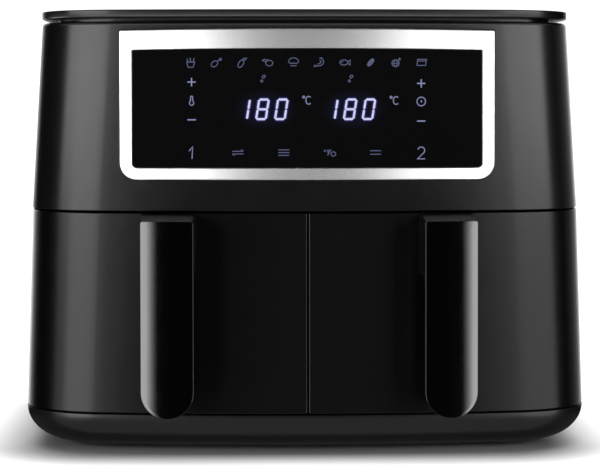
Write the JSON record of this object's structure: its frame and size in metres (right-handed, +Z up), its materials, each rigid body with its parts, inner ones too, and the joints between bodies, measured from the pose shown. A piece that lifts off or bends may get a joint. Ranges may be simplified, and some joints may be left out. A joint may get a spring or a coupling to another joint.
{
  "type": "air fryer",
  "caption": "Counter-top air fryer with two side-by-side pull-out baskets, upright handles, floating lid plate and a silver-framed touch panel.",
  "frame": {"origin": "centre of the whole footprint, handles and rear hoods included, on the surface it stands on", "axes": "front faces -Y, +X is to the right of someone facing the front, +Z is up"},
  "size_m": [0.4008, 0.3658, 0.3082],
  "materials": {
    "matt_black": "fine matt texture",
    "gloss_black": "polished",
    "bezel_silver": "satin plated plastic",
    "panel_glass": "smoked glass over a lit display",
    "inner_plastic": "heat-resistant moulded plastic",
    "rubber": "matt",
    "circuit_board": "solder-masked fibreglass board",
    "lit_display": "diffused light-emitting segments",
    "steel_sheet": "aluminised sheet",
    "aluminium": "stamped",
    "non_stick": "speckled non-stick coating on steel",
    "element_steel": "heat-darkened sheath",
    "screw_steel": "zinc-plated",
    "switch_button": "moulded"
  },
  "bodies": {
    "housing": {"main_housing": "matt_black", "top_cover": "matt_black", "base_tray": "matt_black", "panel_bezel": "bezel_silver", "control_glass": "panel_glass", "front_frame": "inner_plastic", "rear_cover": "inner_plastic", "display_carrier": "inner_plastic", "drawer_switch_left": "inner_plastic", "drawer_switch_right": "inner_plastic", "cord_inlet": "rubber", "foot_front_left": "rubber", "foot_front_right": "rubber", "foot_rear_left": "rubber", "foot_rear_right": "rubber", "display_board": "circuit_board", "power_board": "circuit_board", "digit_module_left": "lit_display", "digit_module_right": "lit_display", "chamber_left": "steel_sheet", "heater_guard_left": "steel_sheet", "fan_motor_left": "steel_sheet", "motor_bracket_left": "steel_sheet", "temperature_probe_left": "steel_sheet", "exhaust_duct_left": "steel_sheet", "chamber_right": "steel_sheet", "heater_guard_right": "steel_sheet", "fan_motor_right": "steel_sheet", "motor_bracket_right": "steel_sheet", "temperature_probe_right": "steel_sheet", "exhaust_duct_right": "steel_sheet", "centre_partition": "aluminium", "heating_element_left": "element_steel", "heating_element_right": "element_steel"},
    "drawer_left": {"drawer_front_left": "matt_black", "drawer_inner_panel_left": "inner_plastic", "basket_left": "non_stick", "handle_body_left": "matt_black", "handle_cover_left": "gloss_black", "handle_screw_lower_left": "screw_steel", "handle_screw_upper_left": "screw_steel"},
    "crisper_left": {"crisper_plate_left": "non_stick"},
    "fan_left": {"motor_rotor_left": "screw_steel", "convection_fan_left": "aluminium", "cooling_fan_left": "inner_plastic"},
    "plunger_left": {"switch_plunger_left": "switch_button"},
    "drawer_right": {"drawer_front_right": "matt_black", "drawer_inner_panel_right": "inner_plastic", "basket_right": "non_stick", "handle_body_right": "matt_black", "handle_cover_right": "gloss_black", "handle_screw_lower_right": "screw_steel", "handle_screw_upper_right": "screw_steel"},
    "crisper_right": {"crisper_plate_right": "non_stick"},
    "fan_right": {"motor_rotor_right": "screw_steel", "convection_fan_right": "aluminium", "cooling_fan_right": "inner_plastic"},
    "plunger_right": {"switch_plunger_right": "switch_button"}
  },
  "joints": [
    {"name": "drawer_left_slide", "type": "slide", "parent": "housing", "child": "drawer_left", "axis": [0, -1, 0], "range_m": [0, 0.31]},
    {"name": "crisper_left_lift", "type": "slide", "parent": "drawer_left", "child": "crisper_left", "axis": [0, 0, 1], "range_m": [0, 0.118]},
    {"name": "fan_left_spin", "type": "hinge", "parent": "housing", "child": "fan_left", "pos_m": [-0.0963, 0.015, 0.2], "axis": [0, 0, 1], "continuous": true},
    {"name": "plunger_left_press", "type": "slide", "parent": "housing", "child": "plunger_left", "axis": [0, 1, 0], "range_m": [0, 0.002], "stiffness_N_per_m": 300},
    {"name": "drawer_right_slide", "type": "slide", "parent": "housing", "child": "drawer_right", "axis": [0, -1, 0], "range_m": [0, 0.31]},
    {"name": "crisper_right_lift", "type": "slide", "parent": "drawer_right", "child": "crisper_right", "axis": [0, 0, 1], "range_m": [0, 0.118]},
    {"name": "fan_right_spin", "type": "hinge", "parent": "housing", "child": "fan_right", "pos_m": [0.0963, 0.015, 0.2], "axis": [0, 0, 1], "continuous": true},
    {"name": "plunger_right_press", "type": "slide", "parent": "housing", "child": "plunger_right", "axis": [0, 1, 0], "range_m": [0, 0.002], "stiffness_N_per_m": 300}
  ]
}
